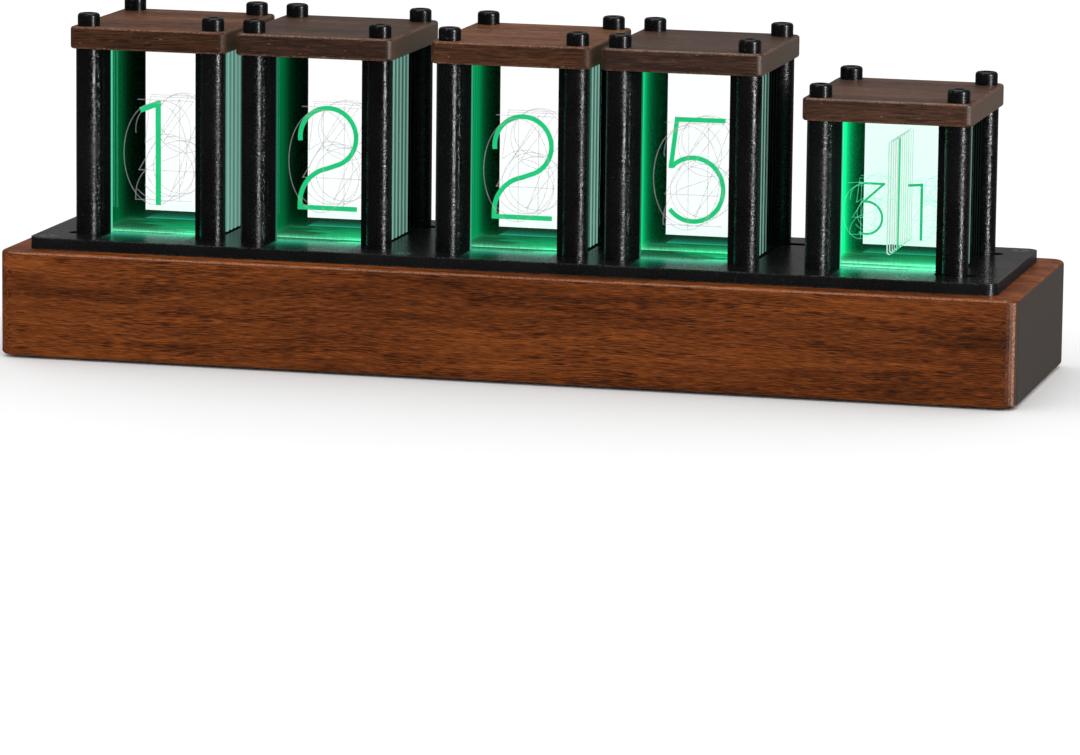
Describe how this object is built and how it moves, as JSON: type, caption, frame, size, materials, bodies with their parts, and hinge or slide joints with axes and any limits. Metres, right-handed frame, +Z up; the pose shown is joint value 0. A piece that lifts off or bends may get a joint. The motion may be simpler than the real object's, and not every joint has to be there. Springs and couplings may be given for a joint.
{
  "type": "nixie-style digital clock",
  "caption": "Desk clock with edge-lit engraved pane stacks under wooden caps on black posts, standing on a black deck over a walnut base, set by rear push buttons.",
  "frame": {"origin": "on the floor under the middle of the base", "axes": "+Z up, +X to the viewer's right along the base, front of the clock towards -Y"},
  "size_m": [0.323, 0.09, 0.1072],
  "materials": {
    "walnut": "satin oiled walnut",
    "cap_wood": "satin dark walnut",
    "black_deck": "satin black paint",
    "coated_post": "fine black crinkle coat",
    "black_screw": "glossy black",
    "steel_screw": "zinc plated",
    "clear_pane": "polished clear acrylic",
    "black_plastic": "moulded black",
    "circuit_board": "solder mask",
    "light_chip": "light chip",
    "spacer_brass": "turned brass",
    "cell_steel": "nickel plated",
    "ribbon_grey": "grey flat cable",
    "socket_steel": "nickel plated shell",
    "button_gloss": "moulded black",
    "foot_rubber": "soft black rubber"
  },
  "bodies": {
    "clock": {"base_block": "walnut", "rubber_feet": "foot_rubber", "deck_plate": "black_deck", "deck_screws": "black_screw", "hour_tens_posts": "coated_post", "hour_tens_cap": "cap_wood", "hour_tens_cap_screws": "black_screw", "hour_tens_post_screws": "steel_screw", "hour_tens_panes": "clear_pane", "hour_tens_pane_holder": "black_plastic", "hour_tens_led_board": "circuit_board", "hour_tens_leds": "light_chip", "hour_ones_posts": "coated_post", "hour_ones_cap": "cap_wood", "hour_ones_cap_screws": "black_screw", "hour_ones_post_screws": "steel_screw", "hour_ones_panes": "clear_pane", "hour_ones_pane_holder": "black_plastic", "hour_ones_led_board": "circuit_board", "hour_ones_leds": "light_chip", "minute_tens_posts": "coated_post", "minute_tens_cap": "cap_wood", "minute_tens_cap_screws": "black_screw", "minute_tens_post_screws": "steel_screw", "minute_tens_panes": "clear_pane", "minute_tens_pane_holder": "black_plastic", "minute_tens_led_board": "circuit_board", "minute_tens_leds": "light_chip", "minute_ones_posts": "coated_post", "minute_ones_cap": "cap_wood", "minute_ones_cap_screws": "black_screw", "minute_ones_post_screws": "steel_screw", "minute_ones_panes": "clear_pane", "minute_ones_pane_holder": "black_plastic", "minute_ones_led_board": "circuit_board", "minute_ones_leds": "light_chip", "date_posts": "coated_post", "date_cap": "cap_wood", "date_cap_screws": "black_screw", "date_post_screws": "steel_screw", "date_panes": "clear_pane", "date_pane_holder": "black_plastic", "date_led_board": "circuit_board", "date_leds": "light_chip", "main_board": "circuit_board", "controller_chip": "black_plastic", "board_spacers": "spacer_brass", "board_screws": "steel_screw", "backup_cell": "cell_steel", "cell_holder": "black_plastic", "ribbon_cables": "ribbon_grey", "rear_panel": "black_plastic", "panel_screws": "black_screw", "usb_socket": "socket_steel", "push_switches": "black_plastic"},
    "hour_button": {"hour_button": "button_gloss"},
    "minute_button": {"minute_button": "button_gloss"},
    "mode_button": {"mode_button": "button_gloss"}
  },
  "joints": [
    {"name": "hour_button_press", "type": "slide", "parent": "clock", "child": "hour_button", "axis": [0, -1, 0], "range_m": [0, 0.0006], "stiffness_N_per_m": 1000},
    {"name": "minute_button_press", "type": "slide", "parent": "clock", "child": "minute_button", "axis": [0, -1, 0], "range_m": [0, 0.0006], "stiffness_N_per_m": 1000},
    {"name": "mode_button_press", "type": "slide", "parent": "clock", "child": "mode_button", "axis": [0, -1, 0], "range_m": [0, 0.0006], "stiffness_N_per_m": 1000}
  ]
}
